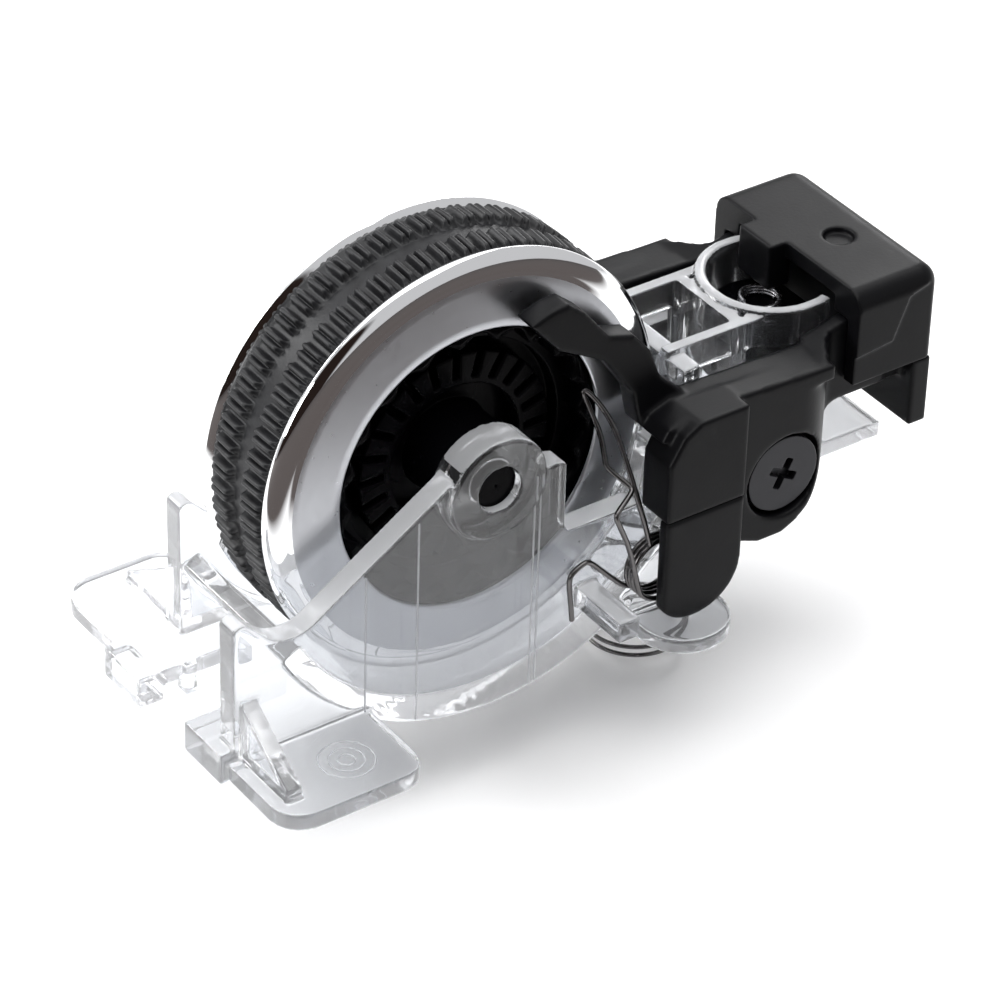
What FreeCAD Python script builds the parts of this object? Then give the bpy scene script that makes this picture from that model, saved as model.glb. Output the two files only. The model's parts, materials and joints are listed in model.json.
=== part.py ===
import FreeCAD, Part
import math
import os
from FreeCAD import Placement, Rotation, Vector

# Scroll-wheel module of a computer mouse, in millimetres.
# Origin: centre of the wheel.  +X to the hood at the rear, +Y along the axle, +Z up.
# "near" pieces are on the -Y side and "far" pieces on the +Y side.

os.makedirs("parts", exist_ok=True)
doc = FreeCAD.newDocument("scroll_wheel_module")

SIZES = {
    # wheel
    "tyre_radius": 12.25, "tyre_half_width": 2.7, "tyre_seat_radius": 10.6,
    "groove_radius": 11.75, "groove_half_width": 0.3,
    "rim_hole_radius": 8.0, "rim_face_radius": 10.8, "rim_crest_radius": 12.2,
    "rim_face_inner": 3.62, "rim_face_outer": 3.41, "rim_crest_side": 2.95,
    "hub_length": 8.6, "hub_radius": 2.6, "bush_radius": 1.9, "bush_bore": 1.25,
    "ratchet_outer": 7.98, "ratchet_inner": 7.0, "ratchet_front": 3.3, "ratchet_back": 2.0,
    "notch_radius": 0.75, "notch_count": 20,
    "encoder_outer": 5.9, "encoder_inner": 4.0, "encoder_front": 2.2, "dish_floor": 1.1,
    "slot_count": 24, "slot_width": 0.45,
    # axle
    "axle_radius": 1.2, "axle_seat_radius": 1.29, "axle_half_length": 5.9,
    # cradle
    "cheek_inner": 4.6, "cheek_outer": 6.0, "boss_radius": 2.98, "boss_outer": 6.35,
    "tub_outer": 14.1, "tub_inner": 13.0, "foot_bottom": -12.0, "foot_top": -11.0,
    "lobe_bottom": -12.6, "lobe_top": -11.7,
    "bridge_top": 2.0, "floor_bottom": -8.0, "floor_top": -7.0,
    "ring_centre": 22.0, "ring_outer": 4.05, "ring_inner": 3.4, "ring_top": 2.3, "ring_bottom": -4.0,
    "ring_half_opening": 71.0, "seat_bottom": -9.0, "tongue_end": 27.2,
    # pivot
    "pivot_along": 17.9, "pivot_height": -5.2, "pivot_shank": 0.9, "sleeve_radius": 1.3,
    "sleeve_bore": 1.0, "screw_head_radius": 2.3, "screw_head_thickness": 0.9, "head_face": 7.3,
    # yoke
    "arm_inner": 6.1, "arm_outer": 7.6, "block_outer": 8.5, "bridge_inner": 4.4,
    "paddle_inner": 7.7, "running_gap": 0.05, "deck_inner": 4.75,
    "hood_front": 23.2, "hood_rear": 28.9, "hood_half_width": 6.4, "hood_top": 3.7,
    "hood_bottom": -2.1, "hood_wall": 1.0,
    # springs and plunger
    "wire_radius": 0.16, "coil_along": 10.0, "coil_height": -8.4, "coil_radius": 1.72, "coil_start": 6.08,
    "return_along": 14.1, "return_radius": 2.85, "return_wire": 0.16, "return_bottom": -18.8,
    "return_pitch": 2.4, "plunger_radius": 3.3, "plunger_top": -0.2, "plunger_bottom": -3.0,
}

sheet = doc.addObject("Spreadsheet::Sheet", "sizes")
for row, (alias, value) in enumerate(SIZES.items(), start=1):
    sheet.set(f"A{row}", alias)
    sheet.set(f"B{row}", str(value))
    sheet.setAlias(f"B{row}", alias)
doc.recompute()

nodes = {}


def size(alias):
    """Value of one cell of the sheet."""
    return float(sheet.get(alias))


def cells(expression):
    """The expression with every alias written as a reference to the sheet."""
    words = []
    for word in expression.replace("(", " ( ").replace(")", " ) ").split():
        sign = "-" if word.startswith("-") and word[1:] in SIZES else ""
        bare = word[len(sign):]
        words.append(f"{sign}sizes.{bare}" if bare in SIZES else word)
    return " ".join(words)


def bind(thing, prop, expression):
    thing.setExpression(prop, cells(expression))


def node(thing, label):
    """Names a finished sub-part; the label is also its file's name."""
    thing.Label = label
    nodes[label] = thing
    return thing


def block(name, low, high):
    """Box between two corners, each given as three sheet expressions."""
    box = doc.addObject("Part::Box", name)
    for axis, edge, start, end in zip("xyz", ("Length", "Width", "Height"), low.split(","), high.split(",")):
        bind(box, f"Placement.Base.{axis}", start)
        bind(box, edge, f"( {end} ) - ( {start} )")
    return box


AXIS_TURN = {"z": Rotation(), "y": Rotation(Vector(1, 0, 0), -90), "x": Rotation(Vector(0, 1, 0), 90)}


def rod(name, axis, radius, start, length):
    """Cylinder along an axis; start is its first end's centre."""
    cylinder = doc.addObject("Part::Cylinder", name)
    cylinder.Placement = Placement(Vector(), AXIS_TURN[axis])
    for coordinate, expression in zip("xyz", start.split(",")):
        bind(cylinder, f"Placement.Base.{coordinate}", expression)
    bind(cylinder, "Radius", radius)
    bind(cylinder, "Height", length)
    return cylinder


def draw(sketch, outline):
    """Closed outline of straight runs; a pair of points in a row entry is an arc's middle and end."""
    first = start = outline[0]
    for entry in outline[1:] + [first]:
        via, end = entry if isinstance(entry[0], tuple) else (None, entry)
        a = Vector(*start, 0)
        b = Vector(*end, 0)
        if via:
            arc = Part.Arc(a, Vector(*via, 0), b)
            sketch.addGeometry(arc, False)
        elif (b - a).Length > 1e-6:
            sketch.addGeometry(Part.LineSegment(a, b), False)
        start = end


def extrude(name, sketch, along, length):
    """Solid from a closed sketch, pushed along a unit vector."""
    extrusion = doc.addObject("Part::Extrusion", name)
    extrusion.Base = sketch
    extrusion.DirMode = "Custom"
    extrusion.Dir = along
    extrusion.Solid = True
    bind(extrusion, "LengthFwd", length)
    return extrusion


def plate(name, outline, side, inner, outer):
    """Flat plate drawn in the XZ plane, between two distances from the middle plane; side is -1 near, 1 far."""
    sketch = doc.addObject("Sketcher::SketchObject", f"{name}_outline")
    sketch.Placement = Placement(Vector(), Rotation(Vector(1, 0, 0), 90))
    draw(sketch, outline)
    bind(sketch, "Placement.Base.y", inner if side > 0 else f"-1 * ( {inner} )")
    return extrude(name, sketch, Vector(0, side, 0), f"( {outer} ) - ( {inner} )")


def slab(name, outline, bottom, top, along="0"):
    """Flat slab drawn in the XY plane, between two heights, moved along X."""
    sketch = doc.addObject("Sketcher::SketchObject", f"{name}_outline")
    draw(sketch, outline)
    bind(sketch, "Placement.Base.x", along)
    bind(sketch, "Placement.Base.z", bottom)
    return extrude(name, sketch, Vector(0, 0, 1), f"( {top} ) - ( {bottom} )")


def fuse(name, *parts):
    union = doc.addObject("Part::MultiFuse", name)
    union.Shapes = list(parts)
    return union


def cut(name, base, *tools):
    tool = tools[0] if len(tools) == 1 else fuse(f"{name}_tools", *tools)
    difference = doc.addObject("Part::Cut", name)
    difference.Base = base
    difference.Tool = tool
    return difference


def common(name, *parts):
    overlap = doc.addObject("Part::MultiCommon", name)
    overlap.Shapes = list(parts)
    return overlap


def origin_plane(body, role):
    return next(feature for feature in body.Origin.OriginFeatures if feature.Role == role)


def new_sketch(body, role, name):
    sketch = body.newObject("Sketcher::SketchObject", name)
    sketch.AttachmentSupport = [(origin_plane(body, role), "")]
    sketch.MapMode = "FlatFace"
    return sketch


def turned(label, outline):
    """Body turned about the Y axis from an outline of (radius, y) points."""
    body = doc.addObject("PartDesign::Body", f"{label}_body")
    sketch = new_sketch(body, "XY_Plane", f"{label}_section")
    draw(sketch, outline)
    turn = body.newObject("PartDesign::Revolution", f"{label}_turn")
    turn.Profile = sketch
    turn.ReferenceAxis = (sketch, ["V_Axis"])
    turn.Angle = 360
    doc.recompute()
    return node(body, label)


def arc_point(radius, degrees):
    angle = math.radians(degrees)
    return (radius * math.cos(angle), radius * math.sin(angle))


# ---------------------------------------------------------------- wheel

def make_rim(label, side):
    """Chromed rim: a flat face ring that rolls over into a round lip beside the tyre."""
    seat = size("tyre_half_width") + 0.02
    back = 3.1
    lip_middle = (11.86, side * 3.28)
    turned(label, [
        (size("rim_hole_radius"), side * back),
        (size("rim_hole_radius"), side * size("rim_face_inner")),
        (size("rim_face_radius"), side * size("rim_face_outer")),
        (lip_middle, (size("rim_crest_radius"), side * size("rim_crest_side"))),
        (size("rim_crest_radius"), side * seat),
        (9.6, side * seat),
        (9.6, side * back),
    ])


def make_tyre():
    half = size("tyre_half_width")
    top = size("tyre_radius")
    groove = size("groove_half_width")
    chamfer = 0.2
    turned("tyre", [
        (size("tyre_seat_radius"), -half),
        (top - chamfer, -half), (top, -half + chamfer),
        (top, -groove - chamfer), (size("groove_radius"), -groove),
        (size("groove_radius"), groove), (top, groove + chamfer),
        (top, half - chamfer), (top - chamfer, half),
        (size("tyre_seat_radius"), half),
    ])


def make_hub():
    """Barrel, web and boss; the near side is the dish that holds the ratchet and encoder rings."""
    end = size("hub_length") / 2
    bore = size("bush_radius")
    boss = size("hub_radius")
    half = size("tyre_half_width")
    seat = size("ratchet_back")
    floor = size("dish_floor")
    far_web = 0.8
    turned("wheel_hub", [
        (bore, -end), (boss, -end), (boss, -floor), (6.6, -floor), (6.6, -seat), (9.6, -seat), (9.6, -half),
        (size("tyre_seat_radius"), -half), (size("tyre_seat_radius"), half), (9.6, half), (9.6, far_web),
        (boss, far_web), (boss, end), (bore, end),
    ])


def make_bush(label, side):
    end = side * size("hub_length") / 2
    middle = side * 0.2
    bore = size("bush_bore")
    outer = size("bush_radius")
    turned(label, [(bore, middle), (bore, end), (outer, end), (outer, middle)])


def make_ratchet():
    """Ring whose inner edge is a row of round notches, one click each."""
    front = size("ratchet_front")
    back = size("ratchet_back")
    body = doc.addObject("PartDesign::Body", "ratchet_body")
    ring = new_sketch(body, "XZ_Plane", "ratchet_ring_outline")
    outer = ring.addGeometry(Part.Circle(Vector(), Vector(0, 0, 1), size("ratchet_outer")), False)
    inner = ring.addGeometry(Part.Circle(Vector(), Vector(0, 0, 1), size("ratchet_inner")), False)
    ring.AttachmentOffset = Placement(Vector(0, 0, back), Rotation())
    pad = body.newObject("PartDesign::Pad", "ratchet_pad")
    pad.Profile = ring
    bind(pad, "Length", "ratchet_front - ratchet_back")
    doc.recompute()
    notch = new_sketch(body, "XZ_Plane", "notch_outline")
    notch.AttachmentOffset = Placement(Vector(0, 0, front), Rotation())
    along, up = arc_point(size("ratchet_inner"), 13.0)
    notch.addGeometry(Part.Circle(Vector(along, up, 0), Vector(0, 0, 1), size("notch_radius")), False)
    pocket = body.newObject("PartDesign::Pocket", "notch_pocket")
    pocket.Profile = notch
    bind(pocket, "Length", "ratchet_front - ratchet_back")
    before = pad.Shape.Volume
    doc.recompute()
    if pocket.Shape.Volume >= before:
        raise RuntimeError("the ratchet's first notch cuts nothing")
    pattern = body.newObject("PartDesign::PolarPattern", "notches")
    pattern.Originals = [pocket]
    pattern.Axis = (ring, ["N_Axis"])
    pattern.Angle = 360
    bind(pattern, "Occurrences", "notch_count")
    body.Tip = pattern
    doc.recompute()
    return node(body, "ratchet_ring")


def make_encoder():
    """Ring with radial slots standing on the dish's floor."""
    floor = size("dish_floor")
    front = size("encoder_front")
    body = doc.addObject("PartDesign::Body", "encoder_body")
    ring = new_sketch(body, "XZ_Plane", "encoder_outline")
    ring.addGeometry(Part.Circle(Vector(), Vector(0, 0, 1), size("encoder_outer")), False)
    ring.addGeometry(Part.Circle(Vector(), Vector(0, 0, 1), size("encoder_inner")), False)
    ring.AttachmentOffset = Placement(Vector(0, 0, floor), Rotation())
    pad = body.newObject("PartDesign::Pad", "encoder_pad")
    pad.Profile = ring
    bind(pad, "Length", "encoder_front - dish_floor")
    doc.recompute()
    slot = new_sketch(body, "XZ_Plane", "slot_outline")
    slot.AttachmentOffset = Placement(Vector(0, 0, front), Rotation())
    inner = size("encoder_inner") + 0.4
    outer = size("encoder_outer") + 0.5
    half = size("slot_width") / 2
    draw(slot, [(inner, -half), (outer, -half), (outer, half), (inner, half)])
    pocket = body.newObject("PartDesign::Pocket", "slot_pocket")
    pocket.Profile = slot
    pocket.Length = front - floor - 0.25
    before = pad.Shape.Volume
    doc.recompute()
    if pocket.Shape.Volume >= before:
        raise RuntimeError("the encoder's first slot cuts nothing")
    pattern = body.newObject("PartDesign::PolarPattern", "slots")
    pattern.Originals = [pocket]
    pattern.Axis = (ring, ["N_Axis"])
    pattern.Angle = 360
    bind(pattern, "Occurrences", "slot_count")
    body.Tip = pattern
    doc.recompute()
    return node(body, "encoder_ring")


def make_axle():
    """Steel pin with a thicker seat at each end, pressed in the cheeks."""
    end = size("axle_half_length")
    seat = size("cheek_inner")
    thin = size("axle_radius")
    thick = size("axle_seat_radius")
    turned("axle_pin", [
        (0, -end), (thick - 0.15, -end), (thick, -end + 0.15), (thick, -seat), (thin, -seat),
        (thin, seat), (thick, seat), (thick, end - 0.15), (thick - 0.15, end), (0, end),
    ])


# ---------------------------------------------------------------- cradle

def cheek_outline(front):
    """Side wall in the XZ plane; front is the X of its front edge."""
    radius = size("boss_radius")
    tub = size("tub_outer")
    lower = size("foot_bottom")
    front_heel = -math.sqrt(tub ** 2 - lower ** 2)
    rear_heel = arc_point(tub, -42)
    boss_left = arc_point(radius, 155)
    boss_right = arc_point(radius, 15)
    return [
        (front, lower), (front, -3.4), ((front + 0.25, -2.75), (front + 0.9, -2.9)),
        (front + 2.1, -4.1), ((front + 3.5, -4.6), (front + 4.9, -4.2)),
        boss_left, (arc_point(radius, 90), boss_right),
        (2.85, 0.0), (3.9, 0.0), ((4.35, -0.15), (4.5, -0.6)), (4.5, -4.1), ((4.65, -4.5), (5.0, -4.6)),
        (9.2, -4.6), (9.9, -1.0), (13.3, -1.0), (14.3, -2.2), (19.9, -2.2), (20.3, -2.6),
        (20.3, -7.0), (19.6, -8.0), (12.0, -8.0),
        rear_heel, (arc_point(tub, -88), (front_heel, lower)),
    ]


NEAR_FOOT_OUTLINE = [
    (-16.4, -5.9), (-7.8, -5.9), (-7.8, -10.4), ((-8.21, -11.39), (-9.2, -11.8)), (-14.6, -11.8),
    ((-15.87, -11.27), (-16.4, -10.0)),
]
FAR_FOOT_OUTLINE = [
    (-16.0, 5.9), (-16.0, 9.8), ((-15.41, 11.21), (-14.0, 11.8)), (-10.3, 11.8),
    ((-9.31, 11.39), (-8.9, 10.4)), (-8.9, 5.9),
]


def gusset(name, side, front):
    """Triangular rib that braces a cheek on its foot plate, 1 mm thick."""
    outline = [(side * 5.9, -11.1), (side * 5.9, -7.4), (side * 10.4, -10.4), (side * 10.4, -11.1)]
    sketch = doc.addObject("Sketcher::SketchObject", f"{name}_outline")
    sketch.Placement = Placement(Vector(), Rotation(Vector(1, 1, 1), 120))
    draw(sketch, outline)
    bind(sketch, "Placement.Base.x", front)
    return extrude(name, sketch, Vector(1, 0, 0), "1.0")


def make_cradle():
    """One clear moulding: cheeks, tub, feet, hooks, peg, pivot ears, bridge, C-ring and tongue."""
    near_front = -15.95
    far_front = -12.6
    parts = []
    for name, side, front in (("near", -1, near_front), ("far", 1, far_front)):
        parts.append(plate(f"{name}_cheek", cheek_outline(front), side, "cheek_inner", "cheek_outer"))
        start = "-boss_outer" if side < 0 else "4.4"
        parts.append(rod(f"{name}_boss", "y", "boss_radius", f"0,{start},0", "boss_outer - 4.4"))
    # tub: a trough under the wheel, from the front low edge round to the rear wall
    outer = size("tub_outer")
    inner = size("tub_inner")
    tub_outline = [
        arc_point(outer, 7), (arc_point(outer, -72), arc_point(outer, -152)),
        arc_point(inner, -152), (arc_point(inner, -72), arc_point(inner, 7)),
    ]
    parts.append(plate("tub", tub_outline, 1, "-cheek_inner", "cheek_inner"))
    # foot plates with their hooks
    parts.append(slab("near_front_foot", NEAR_FOOT_OUTLINE, "foot_bottom", "foot_top"))
    parts.append(slab("far_front_foot", FAR_FOOT_OUTLINE, "foot_bottom", "foot_top"))
    parts.append(block("near_hook", "-16.8,-5.95,-12.3", "-13.6,-2.4,-10.4"))
    parts.append(block("far_hook", "-16.6,2.4,-12.9", "-15.0,5.95,foot_top"))
    parts.append(block("far_rail", "-16.0,2.4,foot_bottom", "-10.0,6.2,foot_top"))
    parts.append(block("far_tab", "-13.9,2.0,-12.9", "-13.1,3.0,foot_top"))
    parts.append(gusset("near_gusset", -1, "-15.6"))
    parts.append(gusset("far_gusset", 1, "-12.5"))
    for name, side in (("near", -1), ("far", 1)):
        # rear foot: a round-ended lobe beside the tub
        lobe = rod(f"{name}_rear_lobe", "z", "2.7", f"11.4,{side * 7.4},lobe_bottom", "lobe_top - lobe_bottom")
        low = f"8.7,{-7.4 if side < 0 else 4.7},lobe_bottom"
        high = f"14.1,{-4.7 if side < 0 else 7.4},lobe_top"
        parts.append(fuse(f"{name}_rear_foot", lobe, block(f"{name}_rear_foot_root", low, high)))
        web_outline = [(8.9, -7.6), (13.2, -7.6), (13.2, -12.4), (8.9, -12.4)]
        parts.append(plate(f"{name}_rear_web", web_outline, side, "cheek_inner", "cheek_outer"))
    parts.append(block("spring_peg", "5.3,-10.0,-9.8", "6.7,-5.9,-8.5"))
    # floor between the pivot ears, its tongue and the return spring's seat
    parts.append(block("floor", "11.2,-4.7,floor_bottom", "21.0,4.7,floor_top"))
    parts.append(block("tongue", "20.9,-4.2,floor_bottom", "tongue_end,4.2,floor_top"))
    parts.append(rod("seat", "z", "3.2", "return_along,0,seat_bottom", "floor_bottom - seat_bottom + 0.2"))
    # bridge bars, cross wall and C-ring
    parts.append(block("near_bar", "12.9,-3.1,0.2", "19.4,-2.4,bridge_top"))
    parts.append(block("far_bar", "12.9,2.4,0.2", "19.4,3.1,bridge_top"))
    parts.append(block("cross_wall", "17.6,-3.1,-7.1", "18.3,3.1,bridge_top"))
    ring = rod("ring_outside", "z", "ring_outer", "ring_centre,0,ring_bottom", "ring_top - ring_bottom")
    hole = rod("ring_inside", "z", "ring_inner", "ring_centre,0,ring_bottom - 1", "ring_top - ring_bottom + 2")
    half = size("ring_half_opening")
    reach = 8
    wedge_outline = [(0, 0), arc_point(reach, -half), (reach * 1.2, 0), arc_point(reach, half)]
    wedge = slab("ring_opening", wedge_outline, "ring_bottom - 1", "ring_top + 1", "ring_centre")
    parts.append(cut("c_ring", ring, hole, wedge))
    for name, side in (("near", -1), ("far", 1)):
        low = f"18.8,{-4.05 if side < 0 else 3.4},floor_top - 0.1"
        high = f"23.2,{-3.4 if side < 0 else 4.05},ring_bottom + 0.1"
        parts.append(block(f"{name}_ring_leg", low, high))
    moulding = fuse("cradle_moulding", *parts)
    axle_hole = rod("axle_hole", "y", "axle_seat_radius", "0,-8,0", "16")
    bolt_near = rod("near_ear_hole", "y", "pivot_shank", "pivot_along,-8,pivot_height", "5")
    bolt_far = rod("far_ear_hole", "y", "pivot_shank", "pivot_along,3,pivot_height", "5")
    return node(cut("cradle_cut", moulding, axle_hole, bolt_near, bolt_far), "cradle")


# ---------------------------------------------------------------- yoke

ARM_OUTLINE = [
    (13.9, 1.2), (20.0, 0.9), (23.1, 1.6), (23.1, -3.4), (21.3, -4.3), ((20.4, -7.0), (17.9, -8.9)), (16.2, -8.9),
    (14.45, -8.2), (14.45, -4.6), (13.9, -4.6),
]
LOBE_OUTLINE = [
    (2.2, 8.7), ((3.1, 9.1), (4.5, 9.3)), (5.6, 8.4), (7.2, 6.4), (8.8, 5.9), (9.9, 4.6), (10.65, 2.7),
    (12.2, 1.2), (12.2, 0.0), (9.4, 0.0), (8.9, 2.2), (7.0, 4.9), (4.0, 6.6),
]
BLOCK_OUTLINE = [
    (9.3, -0.9), (10.2, 0.6), (11.2, 1.2), (14.4, 1.2), (14.4, -4.6), (9.3, -4.6),
]
PADDLE_OUTLINE = [
    (9.3, -4.6), (14.4, -4.6), (14.4, -8.2), ((13.6, -10.4), (11.6, -11.3)), ((10.3, -11.1), (9.3, -10.2)),
]
REAR_OUTLINE = [
    (20.7, 0.9), (23.0, 1.6), (26.2, 1.6), (26.2, -3.4), (20.7, -3.4),
]


def arm_plan(side):
    """Arm seen from above: straight beside the cradle, then in a smooth bend to the narrower hood neck."""
    outer = size("arm_outer")
    inner = size("arm_inner")
    neck = size("bridge_inner")
    points = [
        (13.9, inner), (13.9, outer), (18.9, outer), ((20.5, outer - 0.5), (21.4, outer - 1.6)),
        ((22.0, outer - 2.15), (23.1, outer - 2.4)), (23.1, neck), (20.7, neck), (20.5, inner),
    ]

    def mirrored(entry):
        if isinstance(entry[0], tuple):
            return tuple(mirrored(point) for point in entry)
        return (entry[0], side * entry[1])

    return [mirrored(entry) for entry in points]


def make_yoke():
    parts = []
    holes = []
    for name, side in (("near", -1), ("far", 1)):
        profile = plate(f"{name}_arm_profile", ARM_OUTLINE, side, "bridge_inner", "arm_outer")
        plan = slab(f"{name}_arm_plan", arm_plan(side), "-10", "5")
        parts.append(common(f"{name}_arm", profile, plan))
        parts.append(plate(f"{name}_block", BLOCK_OUTLINE, side, "arm_inner", "block_outer"))
        parts.append(plate(f"{name}_lobe", LOBE_OUTLINE, side, "4.1", "5.6"))
        deck = [(9.4, 0.0), (9.8, 0.7), (11.2, 1.2), (20.8, 0.9), (20.8, 0.0)]
        parts.append(plate(f"{name}_deck", deck, side, "deck_inner", "arm_outer"))
        parts.append(plate(f"{name}_rear_arm", REAR_OUTLINE, side, "bridge_inner", "5.35"))
        start = "-8.6" if side < 0 else "head_face - screw_head_thickness"
        length = "8.6 - head_face + screw_head_thickness"
        holes.append(rod(f"{name}_head_recess", "y", "screw_head_radius + 0.25",
                         f"pivot_along,{start},pivot_height", length))
        start = "-8.6" if side < 0 else "5.9"
        holes.append(rod(f"{name}_sleeve_hole", "y", "sleeve_radius + running_gap",
                         f"pivot_along,{start},pivot_height", "2.7"))
    parts.append(block("cross_beam", "25.0,-5.0,-2.6", "26.2,5.0,2.7"))
    parts.append(block("rear_leg", "27.5,-6.2,-6.3", "28.7,6.2,hood_bottom"))
    parts.append(block("rear_leg_root", "26.1,-5.2,-3.4", "28.7,5.2,hood_bottom"))
    frame = fuse("yoke_moulding", *parts)
    return node(cut("yoke_cut", frame, *holes), "yoke_frame")


def make_paddle(label, side):
    shell = plate(f"{label}_shell", PADDLE_OUTLINE, side, "paddle_inner", "block_outer")
    heel_outline = [(12.2, -4.6), (14.4, -4.6), (14.4, -8.2), (12.2, -8.2)]
    heel = plate(f"{label}_heel", heel_outline, side, "arm_inner", "paddle_inner")
    node(fuse(f"{label}_moulding", shell, heel), label)


HOOD_STEP_OUTLINE = [(29.5, 3.3), (28.5, 3.0), (26.7, 2.5), (25.7, 0.0), (23.9, -0.2), (23.0, -0.3), (23.0, -3.0),
                     (29.5, -3.0)]


def make_hood():
    """Cap with rounded rear and side edges, open below and, for the C-ring and the arms, at the front."""
    solid = block("hood_block", "hood_front,-hood_half_width,hood_bottom", "hood_rear,hood_half_width,hood_top")
    doc.recompute()
    rounded = doc.addObject("Part::Fillet", "hood_rounded")
    rounded.Base = solid
    chosen = []
    for index, edge in enumerate(solid.Shape.Edges, start=1):
        middle = edge.CenterOfMass
        on_top = abs(middle.z - size("hood_top")) < 1e-6
        at_rear = abs(middle.x - size("hood_rear")) < 1e-6
        at_side = abs(abs(middle.y) - size("hood_half_width")) < 1e-6
        if (on_top and (at_rear or at_side)) or (at_rear and at_side):
            chosen.append((index, 1.1, 1.1))
    rounded.Edges = chosen
    cavity = block("hood_cavity", "hood_front + hood_wall,-5.4,hood_bottom - 1",
                   "hood_rear - hood_wall,5.4,hood_top - hood_wall")
    arm_slot = block("hood_arm_slot", "hood_front - 1,-5.4,hood_bottom - 1", "hood_front + hood_wall + 0.1,5.4,1.7")
    ring_slot = block("hood_ring_slot", "hood_front - 1,-4.2,hood_bottom - 1",
                      "hood_front + hood_wall + 0.1,4.2,hood_top - hood_wall")
    steps = [plate(f"{name}_hood_step", HOOD_STEP_OUTLINE, side, "hood_half_width - 0.15", "hood_half_width + 1")
             for name, side in (("near", -1), ("far", 1))]
    shell = cut("hood_shell", rounded, cavity, arm_slot, ring_slot, *steps)
    nose = block("hood_nose", "22.1,0.1,0.9", "hood_front + 0.4,2.9,hood_top")
    dimple = rod("hood_dimple", "z", "0.85", "26.0,-0.9,hood_top - 0.35", "1")
    node(cut("hood_cut", fuse("hood_joined", shell, nose), dimple), "hood_cap")


# ---------------------------------------------------------------- pivots

def make_screws():
    """Two wide-head shoulder screws with a cross recess, and the sleeves they hold."""
    screws = []
    sleeves = []
    for name, side in (("near", -1), ("far", 1)):
        face = "-head_face" if side < 0 else "head_face - screw_head_thickness"
        head = rod(f"{name}_head", "y", "screw_head_radius", f"pivot_along,{face},pivot_height",
                   "screw_head_thickness")
        start = "-head_face + screw_head_thickness" if side < 0 else "4.7"
        shank = rod(f"{name}_shank", "y", "pivot_shank", f"pivot_along,{start},pivot_height",
                    "head_face - screw_head_thickness - 4.7")
        cross = []
        for turn, (wide, tall) in enumerate(((1.9, 0.5), (0.5, 1.9))):
            start = -size("head_face") - 0.5 if side < 0 else size("head_face") - 0.5
            low = f"pivot_along - {wide / 2},{start},pivot_height - {tall / 2}"
            high = f"pivot_along + {wide / 2},{start + 1.0},pivot_height + {tall / 2}"
            cross.append(block(f"{name}_cross_{turn}", low, high))
        screws.append(cut(f"{name}_screw", fuse(f"{name}_screw_blank", head, shank), *cross))
        start = "-head_face + screw_head_thickness" if side < 0 else "cheek_outer"
        length = "head_face - screw_head_thickness - cheek_outer"
        tube = rod(f"{name}_sleeve_outside", "y", "sleeve_radius", f"pivot_along,{start},pivot_height", length)
        bore = rod(f"{name}_sleeve_bore", "y", "sleeve_bore", f"pivot_along,{start},pivot_height", length)
        sleeves.append(cut(f"{name}_sleeve", tube, bore))
    node(fuse("screw_pair", *screws), "pivot_screws")
    node(fuse("sleeve_pair", *sleeves), "pivot_bushes")


# ---------------------------------------------------------------- springs and plunger

def wire(points, radius):
    """Bent wire: straight runs with a ball at every bend."""
    pieces = []
    for start, end in zip(points, points[1:]):
        run = end - start
        pieces.append(Part.makeCylinder(radius, run.Length, start, run))
    pieces += [Part.makeSphere(radius, bend) for bend in points[1:-1]]
    return pieces[0].fuse(pieces[1:]).removeSplitter()


def coil(radius, pitch, turns, thickness):
    """Closed tube along a helix on the Z axis, starting on +X."""
    helix = Part.makeHelix(pitch, pitch * turns, radius)
    profile = Part.Wire(Part.Circle(Vector(radius, 0, 0), Vector(0, 1, 0), thickness).toShape())
    return Part.Wire(helix).makePipeShell([profile], True, True)


def feature(label, shape):
    thing = doc.addObject("Part::Feature", f"{label}_shape")
    thing.Shape = shape
    return node(thing, label)


def make_detent():
    """Torsion spring: a coil with one leg over the cradle's peg, and the leg that rides on the ratchet."""
    radius = size("wire_radius")
    mean = size("coil_radius")
    centre = Vector(size("coil_along"), 0, size("coil_height"))
    leg_angle = 225
    turns = 2.5
    pitch = 2.06 * radius
    tube = coil(mean, pitch, turns, radius)
    # the helix's axis is laid along -Y, and its first end is turned to the leg's angle
    tube.rotate(Vector(), Vector(0, 0, 1), -leg_angle)
    tube.rotate(Vector(), Vector(1, 0, 0), 90)
    first = -size("coil_start") - radius
    tube.translate(centre + Vector(0, first, 0))
    start = centre + Vector(mean * math.cos(math.radians(leg_angle)), first, mean * math.sin(math.radians(leg_angle)))
    over_peg = Vector(5.75, first, -7.05)
    leg = [start, over_peg, Vector(4.75, first, -7.35), Vector(4.95, first, -10.4)]
    feature("detent_spring", tube.fuse(wire(leg, radius)))
    side = first - turns * pitch - 2.2 * radius
    arc = [centre + Vector(mean * math.cos(math.radians(a)), side, mean * math.sin(math.radians(a)))
           for a in (300, 280, 260, 240, 220, 200)]
    path = arc + [
        Vector(7.65, side, -5.95), Vector(6.8, side, -3.7), Vector(8.2, -6.65, -3.1), Vector(7.55, -5.4, -2.0),
        Vector(7.62, -4.2, -0.2), Vector(7.05, -3.6, 1.9), Vector(8.05, -4.2, 0.8), Vector(8.35, -5.2, -0.3),
        Vector(8.35, -6.3, -2.1), Vector(9.1, -7.2, -6.2),
    ]
    feature("detent_finger", wire(path, radius))


def make_return_spring():
    """Open compression coil between the cradle's seat and the mouse base."""
    thickness = size("return_wire")
    bottom = size("return_bottom") + thickness
    height = size("seat_bottom") - thickness - bottom
    pitch = size("return_pitch")
    spring = coil(size("return_radius"), pitch, height / pitch, thickness)
    spring.translate(Vector(size("return_along"), 0, bottom))
    feature("return_spring", spring)


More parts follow.
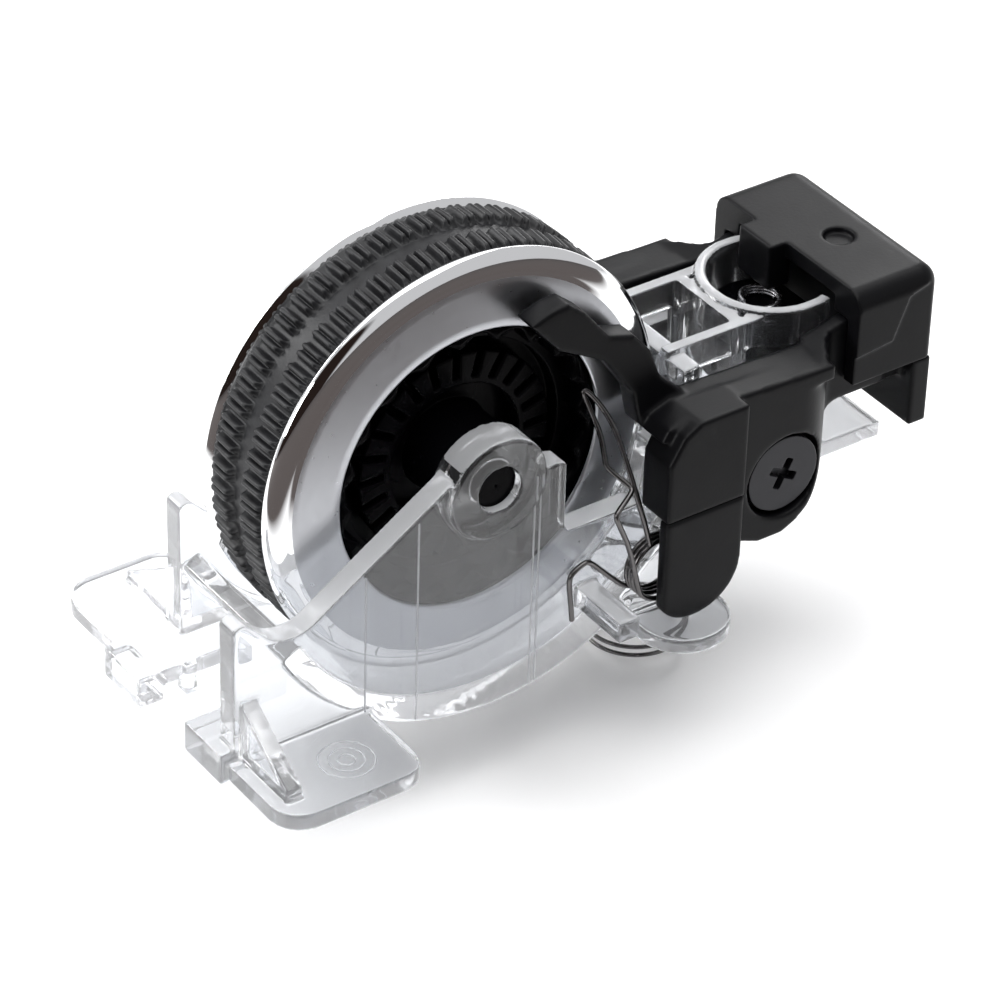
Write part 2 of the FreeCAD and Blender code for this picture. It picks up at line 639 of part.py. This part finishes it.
def make_plunger():
    """Black plunger that slides in the C-ring, its clip below, and its spring under the nose."""
    barrel = rod("plunger_barrel", "z", "plunger_radius", "ring_centre,0,plunger_bottom",
                 "plunger_top - plunger_bottom")
    stem = rod("plunger_stem", "z", "1.0", "ring_centre,0,-6.4", "plunger_bottom + 6.5")
    flat = block("plunger_flat", "24.4,-4,plunger_bottom - 1", "26,4,plunger_top + 1")
    node(cut("plunger_moulding", fuse("plunger_blank", barrel, stem), flat), "plunger")
    disc = rod("clip_disc", "z", "1.9", "ring_centre,0,-6.1", "0.4")
    hole = rod("clip_hole", "z", "1.0", "ring_centre,0,-6.3", "0.8")
    slot = block("clip_slot", "ring_centre,-0.7,-6.3", "ring_centre + 2.5,0.7,-5.5")
    node(cut("clip_cut", disc, hole, slot), "plunger_clip")
    thickness = 0.13
    spring = coil(1.1, 0.33, 1.5, thickness)
    spring.translate(Vector(22.0, 0.6, size("plunger_top") + thickness))
    feature("plunger_spring", spring)


for label, side in (("near", -1), ("far", 1)):
    make_rim(f"{label}_rim", side)
    make_bush(f"{label}_bush", side)
    make_paddle(f"{label}_paddle", side)
make_tyre()
make_hub()
make_ratchet()
make_encoder()
make_axle()
make_cradle()
make_yoke()
make_hood()
make_screws()
make_detent()
make_return_spring()
make_plunger()

doc.recompute()
for thing in doc.Objects:
    if "Invalid" in thing.State or "Error" in thing.State:
        raise RuntimeError(f"{thing.Name} failed: {thing.State}")
for label, thing in nodes.items():
    shape = thing.Shape
    if shape.isNull() or not shape.isValid() or shape.Volume <= 0:
        raise RuntimeError(f"{label} has no valid shape")
    shape.exportStep(f"parts/{label}.step")
    box = shape.BoundBox
    print(f"{label}: {len(shape.Solids)} solid(s), volume {shape.Volume:.1f}, "
          f"x {box.XMin:.2f}..{box.XMax:.2f}, y {box.YMin:.2f}..{box.YMax:.2f}, z {box.ZMin:.2f}..{box.ZMax:.2f}")
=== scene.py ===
import json
import math

import bmesh
import bpy
from mathutils import Matrix, Vector

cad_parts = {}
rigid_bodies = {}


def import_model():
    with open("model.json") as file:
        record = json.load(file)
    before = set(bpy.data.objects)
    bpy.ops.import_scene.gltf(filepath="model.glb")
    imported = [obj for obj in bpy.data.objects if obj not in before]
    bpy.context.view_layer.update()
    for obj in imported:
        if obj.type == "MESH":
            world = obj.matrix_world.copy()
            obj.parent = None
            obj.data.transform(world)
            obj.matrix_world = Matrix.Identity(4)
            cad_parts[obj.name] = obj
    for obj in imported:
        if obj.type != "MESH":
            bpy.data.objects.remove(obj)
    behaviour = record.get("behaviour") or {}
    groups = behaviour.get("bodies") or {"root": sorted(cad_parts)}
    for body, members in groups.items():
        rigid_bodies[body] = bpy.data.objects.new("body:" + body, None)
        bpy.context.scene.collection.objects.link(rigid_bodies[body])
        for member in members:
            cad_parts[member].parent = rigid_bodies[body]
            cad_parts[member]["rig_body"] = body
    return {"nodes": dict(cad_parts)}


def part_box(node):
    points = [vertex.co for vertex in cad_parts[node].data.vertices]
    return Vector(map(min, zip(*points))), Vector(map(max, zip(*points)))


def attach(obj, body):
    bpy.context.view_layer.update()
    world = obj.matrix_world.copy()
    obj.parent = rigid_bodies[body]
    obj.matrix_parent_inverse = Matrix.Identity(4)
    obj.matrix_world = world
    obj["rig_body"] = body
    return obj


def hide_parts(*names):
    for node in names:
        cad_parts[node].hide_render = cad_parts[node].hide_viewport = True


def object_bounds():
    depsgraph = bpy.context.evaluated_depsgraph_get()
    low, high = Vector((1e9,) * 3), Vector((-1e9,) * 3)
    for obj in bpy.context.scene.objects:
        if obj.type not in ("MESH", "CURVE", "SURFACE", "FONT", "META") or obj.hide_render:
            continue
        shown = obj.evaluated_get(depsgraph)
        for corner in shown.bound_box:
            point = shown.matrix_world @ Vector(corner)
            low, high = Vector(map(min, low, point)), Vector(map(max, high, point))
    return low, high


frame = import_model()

# Visual model of a mouse's scroll-wheel module, in metres: +X towards the hood, +Y along the axle,
# +Z up, with the origin at the wheel's centre.  "near" is the -Y side, which faces the camera.

MM = 0.001
TAU = 2 * math.pi
cad_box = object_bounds()


# ---------------------------------------------------------------- materials

def shader(name, colour, roughness, **sockets):
    """Principled material whose plain values sit on the shader's own sockets."""
    material = bpy.data.materials.new(name)
    material.use_nodes = True
    principled = material.node_tree.nodes["Principled BSDF"]
    principled.inputs["Base Color"].default_value = (*colour, 1)
    principled.inputs["Roughness"].default_value = roughness
    for socket, value in sockets.items():
        principled.inputs[socket.replace("_", " ")].default_value = value
    return material


def link_noise(material, scale, detail, stretch=(1, 1, 1)):
    """Noise in the object's own coordinates; returns the noise node."""
    nodes = material.node_tree.nodes
    links = material.node_tree.links
    place = nodes.new("ShaderNodeTexCoord")
    mapping = nodes.new("ShaderNodeMapping")
    mapping.inputs["Scale"].default_value = stretch
    noise = nodes.new("ShaderNodeTexNoise")
    noise.inputs["Scale"].default_value = scale
    noise.inputs["Detail"].default_value = detail
    links.new(place.outputs["Object"], mapping.inputs["Vector"])
    links.new(mapping.outputs["Vector"], noise.inputs["Vector"])
    return noise


def two_tone(tree, value, target, colours, positions=(0, 1)):
    """Ramp between two colours along a value, into a colour socket."""
    ramp = tree.nodes.new("ShaderNodeValToRGB")
    for index in (0, 1):
        ramp.color_ramp.elements[index].position = positions[index]
        ramp.color_ramp.elements[index].color = (*colours[index], 1)
    tree.links.new(value, ramp.inputs["Fac"])
    tree.links.new(ramp.outputs["Color"], target)


def reach_along(tree, coordinates, direction):
    """How far a point, or a direction of the sky, lies along the given direction."""
    place = tree.nodes.new("ShaderNodeTexCoord")
    aim = tree.nodes.new("ShaderNodeVectorMath")
    aim.operation = "DOT_PRODUCT"
    aim.inputs[1].default_value = direction
    tree.links.new(place.outputs[coordinates], aim.inputs[0])
    return aim.outputs["Value"]


def vary_roughness(material, noise, low, high):
    tree = material.node_tree
    spread = tree.nodes.new("ShaderNodeMapRange")
    spread.inputs["To Min"].default_value = low
    spread.inputs["To Max"].default_value = high
    tree.links.new(noise.outputs["Fac"], spread.inputs["Value"])
    tree.links.new(spread.outputs["Result"], tree.nodes["Principled BSDF"].inputs["Roughness"])


def vary_colour(material, noise, dark, light):
    tree = material.node_tree
    target = tree.nodes["Principled BSDF"].inputs["Base Color"]
    two_tone(tree, noise.outputs["Fac"], target, (dark, light), positions=(0.35, 0.7))


def emboss(material, noise, strength, depth):
    tree = material.node_tree
    bump = tree.nodes.new("ShaderNodeBump")
    bump.inputs["Strength"].default_value = strength
    bump.inputs["Distance"].default_value = depth
    tree.links.new(noise.outputs["Fac"], bump.inputs["Height"])
    tree.links.new(bump.outputs["Normal"], tree.nodes["Principled BSDF"].inputs["Normal"])


def clear_plastic(name, colour, clarity, roughness):
    """Polycarbonate with faint flow marks; clarity is the share of light that passes straight on."""
    material = shader(name, colour, roughness, Transmission_Weight=clarity, IOR=1.5, Alpha=0.9,
                      Specular_IOR_Level=0.3)
    noise = link_noise(material, scale=260, detail=2.0, stretch=(1, 1, 0.4))
    emboss(material, noise, strength=0.14, depth=0.15 * MM)
    return material


def black_plastic():
    """Spark-eroded black moulding with a fine even grain."""
    material = shader("black_moulding", (0.003, 0.003, 0.0037), 0.28, Specular_IOR_Level=0.12)
    grain = link_noise(material, scale=5200, detail=3.0)
    emboss(material, grain, strength=0.22, depth=0.02 * MM)
    wear = link_noise(material, scale=420, detail=5.0)
    vary_roughness(material, wear, low=0.3, high=0.46)
    return material


def gloss_black():
    """Smooth black moulding or plating with faint smears."""
    material = shader("smooth_black_moulding", (0.0015, 0.0015, 0.002), 0.3, Specular_IOR_Level=0.03)
    smear = link_noise(material, scale=600, detail=4.0)
    vary_roughness(material, smear, low=0.16, high=0.32)
    return material


def rubber():
    """Matt moulded rubber with a dusty bloom on the ribs."""
    material = shader("tyre_rubber", (0.01, 0.01, 0.011), 0.42, Specular_IOR_Level=0.3)
    bloom = link_noise(material, scale=900, detail=6.0)
    vary_colour(material, bloom, dark=(0.005, 0.005, 0.006), light=(0.017, 0.0175, 0.019))
    grain = link_noise(material, scale=7000, detail=4.0)
    emboss(material, grain, strength=0.35, depth=0.03 * MM)
    return material


def chrome():
    """Bright plating with a barely visible haze."""
    material = shader("bright_chrome", (0.86, 0.865, 0.875), 0.05, Metallic=1.0)
    haze = link_noise(material, scale=700, detail=3.0)
    vary_roughness(material, haze, low=0.035, high=0.075)
    return material


def satin_silver():
    """Satin-plated flat of the rim, with the faint rings of its polishing."""
    material = shader("satin_silver", (0.5, 0.51, 0.535), 0.3, Metallic=1.0)
    haze = link_noise(material, scale=2600, detail=3.0, stretch=(1, 0.05, 1))
    vary_roughness(material, haze, low=0.24, high=0.36)
    emboss(material, haze, strength=0.05, depth=0.01 * MM)
    return material


def steel_wire():
    """Drawn spring wire, marked along its length."""
    material = shader("spring_wire", (0.13, 0.125, 0.125), 0.22, Metallic=1.0)
    drawn = link_noise(material, scale=900, detail=2.0, stretch=(1, 1, 0.1))
    vary_roughness(material, drawn, low=0.18, high=0.28)
    return material


def bright_steel():
    """Bright steel with the fine rings of turning."""
    material = shader("turned_steel", (0.55, 0.55, 0.57), 0.22, Metallic=1.0)
    turned = link_noise(material, scale=2400, detail=3.0, stretch=(1, 8, 1))
    vary_roughness(material, turned, low=0.16, high=0.34)
    return material


def black_screw():
    """Blackened steel with an uneven oxide."""
    material = shader("black_oxide_screw", (0.02, 0.02, 0.023), 0.33, Metallic=0.6)
    oxide = link_noise(material, scale=1500, detail=5.0)
    vary_roughness(material, oxide, low=0.26, high=0.46)
    emboss(material, oxide, strength=0.08, depth=0.02 * MM)
    return material


CLEAR = clear_plastic("clear_polycarbonate", (0.8, 0.815, 0.84), clarity=0.98, roughness=0.03)
# The milkier copy of the clear plastic paints top light on the cradle's upward faces; the mould marks are
# made of it too.
FROST_AND_PAINTED_TOP_LIGHT = clear_plastic("ground_and_top_lit_polycarbonate", (0.78, 0.79, 0.81), clarity=0.6, roughness=0.22)
BLACK = black_plastic()
GLOSS = gloss_black()
RUBBER = rubber()
CHROME = chrome()
SATIN = satin_silver()
WIRE = steel_wire()
STEEL = bright_steel()
SCREW = black_screw()


# ---------------------------------------------------------------- mesh helpers

def link(name, mesh, *materials):
    piece = bpy.data.objects.new(name, mesh)
    bpy.context.scene.collection.objects.link(piece)
    for material in materials:
        mesh.materials.append(material)
    return piece


def settle(piece, node):
    """The piece rides on its node's body and stands for the node."""
    body = frame["nodes"][node]["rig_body"]
    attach(piece, body)
    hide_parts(node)
    return piece


def smooth(mesh):
    mesh.polygons.foreach_set("use_smooth", [True] * len(mesh.polygons))
    mesh.update()


def rounded(points, radius, steps=5):
    """Closed 2-D outline with every corner turned into a small arc of about the given radius."""
    result = []
    count = len(points)
    for index, corner in enumerate(points):
        corner = Vector(corner)
        before = Vector(points[index - 1]) - corner
        after = Vector(points[(index + 1) % count]) - corner
        reach = min(radius, before.length * 0.45, after.length * 0.45)
        start = corner + before.normalized() * reach
        end = corner + after.normalized() * reach
        for step in range(steps + 1):
            share = step / steps
            bend = start * (1 - share) ** 2 + corner * 2 * share * (1 - share) + end * share ** 2
            result.append(bend)
    return result


def around_axle(radius, y, turn):
    """Point at a radius from the Y axis, after the given share of a full turn."""
    angle = TAU * turn
    return (radius * math.cos(angle), y, radius * math.sin(angle))


def ring_mesh(name, rows):
    """Closed mesh from rows of points that run round the Y axis; each row is one point of the section."""
    mesh = bpy.data.meshes.new(name)
    shape = bmesh.new()
    made = [[shape.verts.new(point) for point in row] for row in rows]
    count = len(made)
    around = len(made[0])
    for i in range(count):
        for j in range(around):
            shape.faces.new((made[i][j], made[(i + 1) % count][j],
                             made[(i + 1) % count][(j + 1) % around], made[i][(j + 1) % around]))
    bmesh.ops.recalc_face_normals(shape, faces=shape.faces)
    shape.to_mesh(mesh)
    shape.free()
    smooth(mesh)
    return mesh


def lathe(name, section, segments=256):
    """Section of (radius, y) points, in metres, turned about the Y axis."""
    rows = []
    for radius, y in section:
        rows.append([around_axle(radius, y, k / segments) for k in range(segments)])
    return ring_mesh(name, rows)


def moulded(name, node, material, voxel, passes, reduce=0.25):
    """Copy of a CAD node with its edges worn round, as a moulding's are.

    The voxel is the mesh's spacing, passes is how often it is smoothed, and reduce is the share of
    its faces that is kept.
    """
    mesh = frame["nodes"][node].data.copy()
    mesh.materials.clear()
    piece = link(name, mesh, material)
    remesh = piece.modifiers.new("even", "REMESH")
    remesh.mode = "VOXEL"
    remesh.voxel_size = voxel
    soft = piece.modifiers.new("soft", "SMOOTH")
    soft.factor = 0.5
    soft.iterations = passes
    fewer = piece.modifiers.new("fewer", "DECIMATE")
    fewer.ratio = reduce
    bpy.context.view_layer.update()
    graph = bpy.context.evaluated_depsgraph_get()
    done = bpy.data.meshes.new_from_object(piece.evaluated_get(graph))
    piece.modifiers.clear()
    piece.data = done
    smooth(done)
    return settle(piece, node)


def paint_top_light(piece):
    """Painted top light: upward faces of the walls, ring and bars get the milkier finish so they look lit
    from above; the foot plates and the tub stay clear.
    """
    foot_level = -9.2 * MM
    upward = 0.6
    tub_half = 4.5 * MM
    tub_end = 11.5 * MM
    mesh = piece.data
    mesh.materials.append(FROST_AND_PAINTED_TOP_LIGHT)
    for polygon in mesh.polygons:
        centre = polygon.center
        lit_top = centre.z > foot_level and polygon.normal.z > upward
        in_tub = abs(centre.y) < tub_half and centre.x < tub_end
        if lit_top and not in_tub:
            polygon.material_index = 1


def wire(name, points, radius, material):
    """Round wire along a smooth line through given bends."""
    curve = bpy.data.curves.new(name, "CURVE")
    curve.dimensions = "3D"
    curve.bevel_depth = radius
    curve.bevel_resolution = 6
    curve.resolution_u = 12
    curve.use_fill_caps = True
    spline = curve.splines.new("NURBS")
    spline.points.add(len(points) - 1)
    for point, place in zip(spline.points, points):
        point.co = (*place, 1)
    spline.order_u = 3
    spline.use_endpoint_u = True
    return link(name, curve, material)


# ---------------------------------------------------------------- wheel

wheel_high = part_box("tyre")[1]
TYRE_R = wheel_high.x
TYRE_HALF = wheel_high.y
RIM_R = 12.2 * MM
RIM_FACE_R = 10.8 * MM
RIM_HOLE_R = 8.0 * MM


def tyre():
    """Two rows of ribs in pairs, either side of a smooth band."""
    blocks = 60
    seat = 10.6 * MM
    band_half = 0.55 * MM
    row_outer = 2.3 * MM
    ramp = 0.24 * MM
    rib_height = 0.5 * MM
    crown_wear = 0.08 * MM
    edge_drop = 0.1 * MM
    edge_width = 0.12 * MM
    # each block is a pair of ribs with a shallow slot between them, then a deep valley
    rib_places = (0.27, 0.63)
    rib_half = 0.15
    across = 60
    per_block = 22
    around = blocks * per_block
    rows = []
    for i in range(across + 1):
        y = -TYRE_HALF + 2 * TYRE_HALF * i / across
        offset = abs(y)
        rise = min(max((offset - band_half) / ramp, 0), 1)
        fall = min(max((row_outer - offset) / ramp, 0), 1)
        crest = math.sqrt(rise * (2 - rise)) * math.sqrt(fall * (2 - fall))
        outward = max(offset - band_half, 0) / (row_outer - band_half)
        edge = edge_drop * max(0, (offset - TYRE_HALF + edge_width) / edge_width) ** 2
        stagger = 0.5 if y > 0 else 0
        row = []
        for j in range(around):
            turn = (j / per_block + stagger) % 1
            rib = max(math.exp(-((turn - place) / rib_half) ** 4) for place in rib_places)
            radius = TYRE_R - rib_height + (rib * rib_height - crown_wear * outward ** 2) * crest - edge
            row.append(around_axle(radius, y, j / around))
        rows.append(row)
    for y in (TYRE_HALF, -TYRE_HALF):
        rows.append([around_axle(seat, y, j / around) for j in range(around)])
    piece = link("ribbed_tyre", ring_mesh("ribbed_tyre", rows), RUBBER)
    return settle(piece, "tyre")


def rim(node, side):
    """Satin face ring that rolls over into a bright round lip."""
    face_in = 3.62 * MM
    face_out = 3.41 * MM
    seat = TYRE_HALF + 0.02 * MM
    back = 3.1 * MM
    step_r = 9.6 * MM
    face_start = RIM_HOLE_R + 0.13 * MM
    lip_top = face_out - 0.05 * MM
    section = [(step_r, seat), (step_r, back), (RIM_HOLE_R, back)]
    # the hole's edge is rounded over onto the face
    section += [(RIM_HOLE_R, face_in - 0.12 * MM), (RIM_HOLE_R + 0.04 * MM, face_in - 0.03 * MM)]
    face_steps = 6
    for step in range(face_steps + 1):
        share = step / face_steps
        section.append((face_start + (RIM_FACE_R - face_start) * share,
                        face_in + (face_out - face_in) * share))
    lip_steps = 14
    for step in range(1, lip_steps + 1):
        angle = math.pi / 2 * step / lip_steps
        section.append((RIM_FACE_R + (RIM_R - RIM_FACE_R) * math.sin(angle),
                        seat + (lip_top - seat) * math.cos(angle)))
    mesh = lathe(f"{node}_plated", [(radius, side * y) for radius, y in section])
    piece = link(f"{node}_plated", mesh, CHROME, SATIN)
    for polygon in mesh.polygons:
        centre = polygon.center
        if math.hypot(centre.x, centre.z) < RIM_FACE_R and abs(centre.y) > face_out - 0.02 * MM:
            polygon.material_index = 1
    return settle(piece, node)


def ratchet():
    """Detent ring: its inner wall is one smooth wave for each click."""
    low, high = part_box("ratchet_ring")
    clicks = 20
    phase = math.radians(13.0)
    crest_r = 7.05 * MM
    wave_depth = 0.62 * MM
    lip = 0.12 * MM
    around = clicks * 24
    levels = (("outer", high.y), ("outer", low.y), ("lip", low.y), ("wave", low.y + lip), ("wave", high.y))
    rows = []
    for wall, y in levels:
        row = []
        for j in range(around):
            beat = 0.5 + 0.5 * math.cos(clicks * (TAU * j / around - phase))
            wave = crest_r + wave_depth * beat ** 0.8
            radius = {"outer": high.x, "lip": wave + lip, "wave": wave}[wall]
            row.append(around_axle(radius, y, j / around))
        rows.append(row)
    piece = link("ratchet_wave", ring_mesh("ratchet_wave", rows), GLOSS)
    return settle(piece, "ratchet_ring")


def turned_part(name, node, material, points, corner=0.12):
    """Turned or moulded ring from (radius, y) points and a corner radius, all in mm."""
    section = [(p.x * MM, p.y * MM) for p in rounded(points, corner)]
    return settle(link(name, lathe(name, section, 160), material), node)


def hub():
    """Barrel, web and the seat of the tyre and rims, dished on the near side."""
    end = 4.3
    turned_part("hub_moulding", "wheel_hub", GLOSS, [
        (1.9, -end), (2.6, -end), (2.6, -1.1), (6.6, -1.1), (6.6, -2.0), (9.58, -2.0), (9.58, -2.7),
        (10.6, -2.7), (10.6, 2.7), (9.58, 2.7), (9.58, 0.8), (2.6, 0.8), (2.6, end), (1.9, end),
    ])


tyre()
rim("near_rim", -1)
rim("far_rim", 1)
ratchet()
hub()
for bush_node, end in (("near_bush", -1), ("far_bush", 1)):
    turned_part(f"{bush_node}_turned", bush_node, GLOSS,
                [(1.25, 0.2 * end), (1.25, 4.3 * end), (1.9, 4.3 * end), (1.9, 0.2 * end)], corner=0.08)
turned_part("axle_turned", "axle_pin", GLOSS, [
    (0.01, -5.9), (1.29, -5.9), (1.29, -4.6), (1.2, -4.6),
    (1.2, 4.6), (1.29, 4.6), (1.29, 5.9), (0.01, 5.9),
], corner=0.15)
moulded("encoder_moulding", "encoder_ring", GLOSS, voxel=0.06 * MM, passes=3)


# ---------------------------------------------------------------- mouldings

cradle = moulded("cradle_moulding", "cradle", CLEAR, voxel=0.11 * MM, passes=7, reduce=0.35)
# painted top light on the cradle's upward faces
paint_top_light(cradle)
moulded("yoke_moulding", "yoke_frame", BLACK, voxel=0.1 * MM, passes=26)
moulded("hood_moulding", "hood_cap", BLACK, voxel=0.08 * MM, passes=10)
for paddle_node in ("near_paddle", "far_paddle"):
    moulded(f"{paddle_node}_moulding", paddle_node, BLACK, voxel=0.09 * MM, passes=24)
moulded("plunger_moulding", "plunger", GLOSS, voxel=0.08 * MM, passes=4)
# both screws were driven home to the same angle
SCREW_AXIS = Vector((17.9, 0, -5.2)) * MM
SCREW_TURN = Matrix.Rotation(math.radians(28), 4, "Y")
screws = moulded("screw_pair", "pivot_screws", SCREW, voxel=0.05 * MM, passes=3)
screws.data.transform(Matrix.Translation(SCREW_AXIS) @ SCREW_TURN @ Matrix.Translation(-SCREW_AXIS))
moulded("sleeve_pair", "pivot_bushes", STEEL, voxel=0.05 * MM, passes=2, reduce=0.5)
moulded("clip_stamping", "plunger_clip", SCREW, voxel=0.05 * MM, passes=2, reduce=0.5)


# ---------------------------------------------------------------- springs

WIRE_R = 0.15 * MM
COIL_X = 10.0 * MM
COIL_Z = -8.4 * MM
COIL_R = 1.74 * MM
COIL_FAR = -6.24 * MM
COIL_NEAR = -7.42 * MM
COIL_STEPS = 18


def coil_point(degrees, y):
    """Point on the detent spring's coil, whose axis lies along Y."""
    angle = math.radians(degrees)
    return (COIL_X + COIL_R * math.cos(angle), y, COIL_Z + COIL_R * math.sin(angle))


def detent_spring():
    """Torsion coil with one leg hooked over the cradle's peg."""
    leg_angle = 226
    turns = 3
    last_turn = COIL_NEAR + 0.32 * MM
    leg = [
        (4.98, -10.4), (4.86, -9.3), (4.7, -8.0), (4.74, -7.45), (5.05, -7.2), (5.5, -6.98),
        (5.82, -6.92), (6.15, -7.15), (7.2, -8.3), (8.3, -9.45),
    ]
    points = [(x * MM, COIL_FAR, z * MM) for x, z in leg]
    steps = turns * 20
    for step in range(steps + 1):
        share = step / steps
        points.append(coil_point(leg_angle + 360 * turns * share, COIL_FAR + (last_turn - COIL_FAR) * share))
    settle(wire("detent_coil", points, WIRE_R, WIRE), "detent_spring")


def detent_finger():
    """The working leg: it leaves the coil, doglegs over the cheek and folds back beside the ratchet."""
    points = [coil_point(angle, COIL_NEAR) for angle in range(300, 199, -15)]
    bends = [
        (8.2, -7.42, -8.1), (7.65, -7.42, -5.95), (6.95, -7.4, -4.3), (6.75, -7.35, -3.75),
        (6.95, -7.25, -3.5), (8.0, -6.8, -3.15), (8.3, -6.6, -3.0), (8.25, -6.4, -2.85),
        (7.75, -5.6, -2.3), (7.5, -5.3, -1.95), (7.55, -5.1, -1.6), (7.7, -4.5, -0.6),
        (7.6, -4.1, 0.1), (7.2, -3.66, 1.45), (7.02, -3.6, 1.95), (7.2, -3.62, 2.0),
        (7.5, -3.8, 1.7), (8.05, -4.3, 0.75), (8.3, -5.1, -0.3), (8.35, -6.1, -1.9),
        (8.5, -6.75, -3.4), (8.9, -7.1, -5.2), (9.15, -7.25, -6.5),
    ]
    points += [(x * MM, y * MM, z * MM) for x, y, z in bends]
    settle(wire("detent_leg", points, WIRE_R, WIRE), "detent_finger")


def upright_coil(node, thickness):
    """The wire's centre line in an upright spring's box: a point by turn and height, bottom and top."""
    low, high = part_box(node)
    centre = (low + high) / 2
    radius = (high.x - low.x) / 2 - thickness

    def place(turn, height):
        return (centre.x + radius * math.cos(TAU * turn), centre.y + radius * math.sin(TAU * turn), height)

    return place, low.z + thickness, high.z - thickness


def return_spring():
    """Open compression spring with two closer turns at its lower end."""
    thickness = 0.12 * MM
    place, bottom, top = upright_coil("return_spring", thickness)
    foot = bottom + 1.1 * MM
    seat = top - 0.4 * MM
    points = []
    turned = 0
    for turns, start, end in ((2, bottom, foot), (3, foot, seat), (1, seat, top)):
        count = turns * COIL_STEPS
        for step in range(count):
            share = step / count
            points.append(place(turned + turns * share, start + (end - start) * share))
        turned += turns
    settle(wire("return_coil", points, thickness, WIRE), "return_spring")


def plunger_spring():
    """Short coil under the hood's nose."""
    thickness = 0.13 * MM
    place, bottom, top = upright_coil("plunger_spring", thickness)
    turns = 2.5
    steps = int(turns * COIL_STEPS)
    points = []
    for step in range(steps + 1):
        share = step / steps
        points.append(place(turns * share, bottom + (top - bottom) * share))
    settle(wire("plunger_coil", points, thickness, STEEL), "plunger_spring")


detent_spring()
detent_finger()
return_spring()
plunger_spring()


# ---------------------------------------------------------------- moulding marks

def mark(name, points, radius):
    """Fine raised line that the mould left on the cradle."""
    piece = wire(name, points, radius, FROST_AND_PAINTED_TOP_LIGHT)
    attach(piece, "cradle_body")


def moulding_marks():
    """Lines down the near cheek, each to the tub's round edge, and rings on the near front foot."""
    cheek_face = -6.0
    tub_r = 13.9
    cheek_lines = ((2.45, -0.2), (2.8, -0.2), (-4.8, -0.5), (-8.0, -2.6))
    spans = 6
    for index, (along, top) in enumerate(cheek_lines):
        foot = -math.sqrt(tub_r ** 2 - along ** 2)
        points = [(along * MM, cheek_face * MM, (top + (foot - top) * k / spans) * MM)
                  for k in range(spans + 1)]
        mark(f"cheek_line_{index}", points, 0.06 * MM)
    centre = Vector((-11.1, -9.0, -11.0))
    spans = 24
    for index, radius in enumerate((0.45, 0.95, 1.5)):
        points = []
        for k in range(spans + 1):
            angle = TAU * k / spans
            points.append((centre + Vector((radius * math.cos(angle), radius * math.sin(angle), 0))) * MM)
        mark(f"foot_ring_{index}", points, 0.05 * MM)


moulding_marks()


# ---------------------------------------------------------------- studio

def floor():
    """Pale graded paper that falls to dark beyond the near side, out of the main camera's view."""
    half = 0.6
    level = cad_box[0].z - 0.2 * MM
    pale = (0.92, 0.92, 0.92)
    dark = (0.05, 0.04, 0.037)
    mesh = bpy.data.meshes.new("studio_floor")
    mesh.from_pydata([(-half, -half, level), (half, -half, level), (half, half, level), (-half, half, level)],
                     [], [(0, 1, 2, 3)])
    paper = shader("floor_paper", pale, 0.9)
    tree = paper.node_tree
    fade = tree.nodes.new("ShaderNodeMapRange")
    fade.inputs["From Min"].default_value = 0.029
    fade.inputs["From Max"].default_value = 0.037
    tree.links.new(reach_along(tree, "Object", (-0.25, -0.97, 0)), fade.inputs["Value"])
    target = tree.nodes["Principled BSDF"].inputs["Base Color"]
    two_tone(tree, fade.outputs["Result"], target, (pale, dark))
    link("studio_floor", mesh, paper)


def lamp(name, place, size, power):
    """Soft box that faces the wheel's centre."""
    light = bpy.data.lights.new(name, "AREA")
    light.shape = "RECTANGLE"
    light.size, light.size_y = size
    light.energy = power
    holder = bpy.data.objects.new(name, light)
    holder.location = place
    holder.rotation_mode = "QUATERNION"
    holder.rotation_quaternion = (-Vector(place)).to_track_quat("-Z", "Y")
    bpy.context.scene.collection.objects.link(holder)


def studio():
    """Soft pale sky with one dark quarter, which gives the plating and the clear walls their dark lines."""
    world = bpy.data.worlds.new("studio")
    world.use_nodes = True
    tree = world.node_tree
    sky = (0.62, 0.62, 0.63)
    dark = (0.02, 0.013, 0.011)
    toward_dark = reach_along(tree, "Generated", Vector((-0.68, -0.71, 0.14)).normalized())
    backdrop = tree.nodes["Background"]
    two_tone(tree, toward_dark, backdrop.inputs["Color"], (sky, dark), positions=(0.74, 0.8))
    backdrop.inputs["Strength"].default_value = 1.0
    bpy.context.scene.world = world
    lamp("top_softbox", (0.02, 0.04, 0.42), size=(0.55, 0.55), power=2.4)
    lamp("left_softbox", (-0.34, -0.04, 0.13), size=(0.16, 0.16), power=0.55)
    lamp("edge_softbox", (-0.28, 0.28, 0.24), size=(0.2, 0.12), power=1.1)
    lamp("rear_strip", (0.24, 0.2, 0.16), size=(0.05, 0.2), power=0.25)
    floor()


def camera():
    """Camera above and in front of the near cheek, with a long lens."""
    lens = bpy.data.cameras.new("camera")
    lens.lens = 167.56
    lens.sensor_width = 36.0
    lens.clip_start = 0.01
    lens.clip_end = 10
    azimuth = math.radians(-35.87)
    elevation = math.radians(35.33)
    roll = math.radians(1.77)
    distance = 242.34 * MM
    target = Vector((1.813, -3.792, -2.837)) * MM
    back = Vector((math.sin(azimuth) * math.cos(elevation), -math.cos(azimuth) * math.cos(elevation),
                   math.sin(elevation)))
    right = Vector((math.cos(azimuth), math.sin(azimuth), 0))
    up = back.cross(right)
    turned_right = math.cos(roll) * right + math.sin(roll) * up
    turned_up = -math.sin(roll) * right + math.cos(roll) * up
    turn = Matrix((turned_right, turned_up, back)).transposed().to_4x4()
    holder = bpy.data.objects.new("camera", lens)
    holder.matrix_world = Matrix.Translation(target + back * distance) @ turn
    bpy.context.scene.collection.objects.link(holder)
    bpy.context.scene.camera = holder


studio()
camera()
bpy.context.scene.view_settings.view_transform = "Standard"
